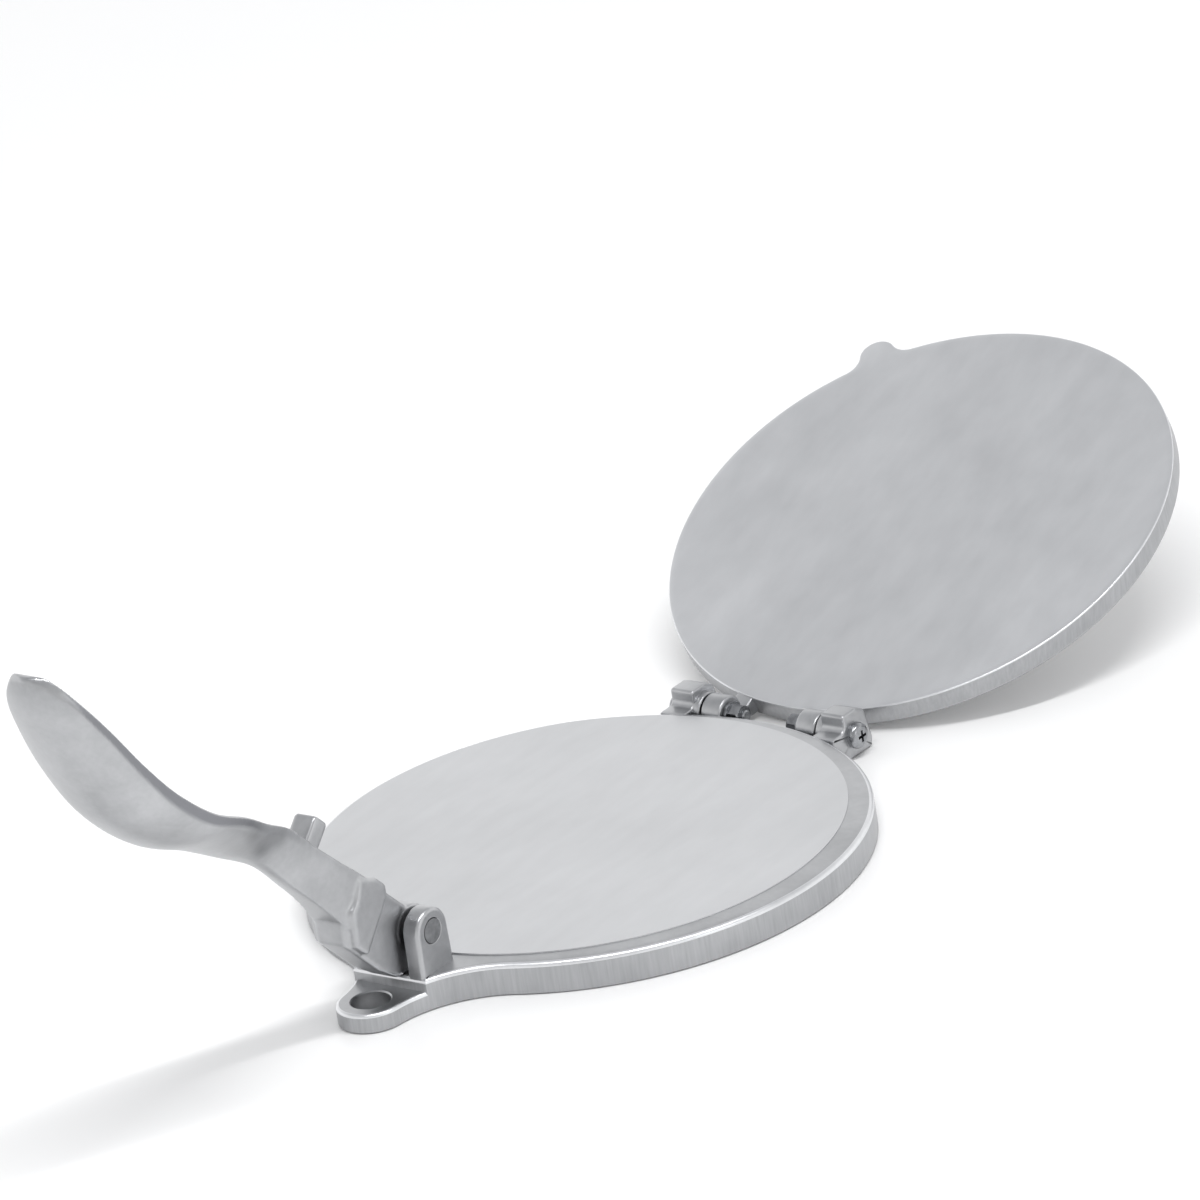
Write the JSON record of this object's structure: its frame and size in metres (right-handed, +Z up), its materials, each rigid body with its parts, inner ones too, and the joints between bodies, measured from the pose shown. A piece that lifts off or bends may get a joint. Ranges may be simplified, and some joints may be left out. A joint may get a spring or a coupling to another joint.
{
  "type": "tortilla press",
  "caption": "Open cast aluminium tortilla press: round base plate, hinged round top plate with a thumb tab, and a spoon-shaped press lever on a front pin.",
  "frame": {"origin": "centre of the base plate's outer circle, on the underside that rests on the table", "axes": "+Z up, +Y towards the plate hinge, -Y towards the lever, +X to the right seen from the lever"},
  "size_m": [0.2088, 0.589, 0.1988],
  "materials": {
    "cast_aluminium": "polished and linished cast aluminium, machined press faces",
    "pin_steel": "ground steel pin, dull ends",
    "plated_steel": "zinc-plated steel fasteners"
  },
  "bodies": {
    "base": {"base_plate": "cast_aluminium", "lever_pin": "pin_steel", "hinge_screw_right": "plated_steel", "hinge_screw_left": "plated_steel", "hinge_nut_right": "plated_steel", "hinge_nut_left": "plated_steel", "hinge_washer_right": "plated_steel", "hinge_washer_left": "plated_steel"},
    "top": {"top_plate": "cast_aluminium"},
    "handle": {"lever": "cast_aluminium"}
  },
  "joints": [
    {"name": "top_plate_hinge", "type": "hinge", "parent": "base", "child": "top", "pos_m": [0, 0.1112, 0.0084], "axis": [1, 0, 0], "range_deg": [0, 158.9]},
    {"name": "lever_pivot", "type": "hinge", "parent": "base", "child": "handle", "pos_m": [0, -0.1089, 0.027], "axis": [-1, 0, 0], "range_deg": [0, 125]}
  ]
}
